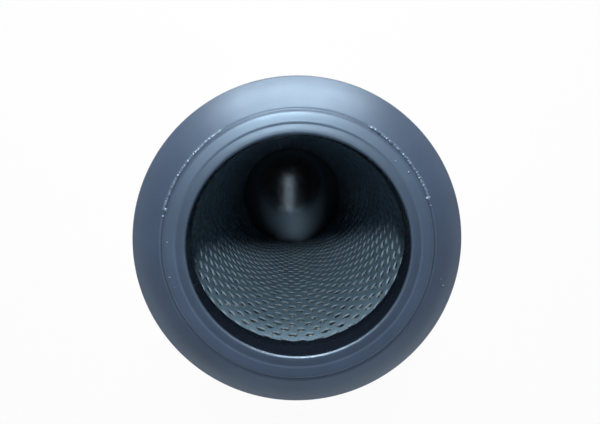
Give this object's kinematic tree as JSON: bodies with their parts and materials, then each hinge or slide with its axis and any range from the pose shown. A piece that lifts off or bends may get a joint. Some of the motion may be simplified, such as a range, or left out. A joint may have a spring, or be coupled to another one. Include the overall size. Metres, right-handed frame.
{
  "type": "compressed air filter element",
  "caption": "Cylindrical pleated paper air filter element with a stepped rubber sealing cap round its open end, a closed rubber cap below and a perforated metal core.",
  "frame": {"origin": "middle of the rest face under the closed end cap", "axes": "+Z along the element's axis, from the closed end to the open end with the seal; X and Y across it"},
  "size_m": [0.133, 0.133, 0.3],
  "materials": {
    "moulded_polyurethane": "satin",
    "galvanised_steel": "satin",
    "filter_paper": "matte",
    "hot_melt_glue": "satin"
  },
  "bodies": {
    "root": {"open_end_cap": "moulded_polyurethane", "closed_end_cap": "moulded_polyurethane", "centre_tube": "galvanised_steel", "pleated_media": "filter_paper", "lower_bead": "hot_melt_glue", "upper_bead": "hot_melt_glue"}
  },
  "joints": []
}
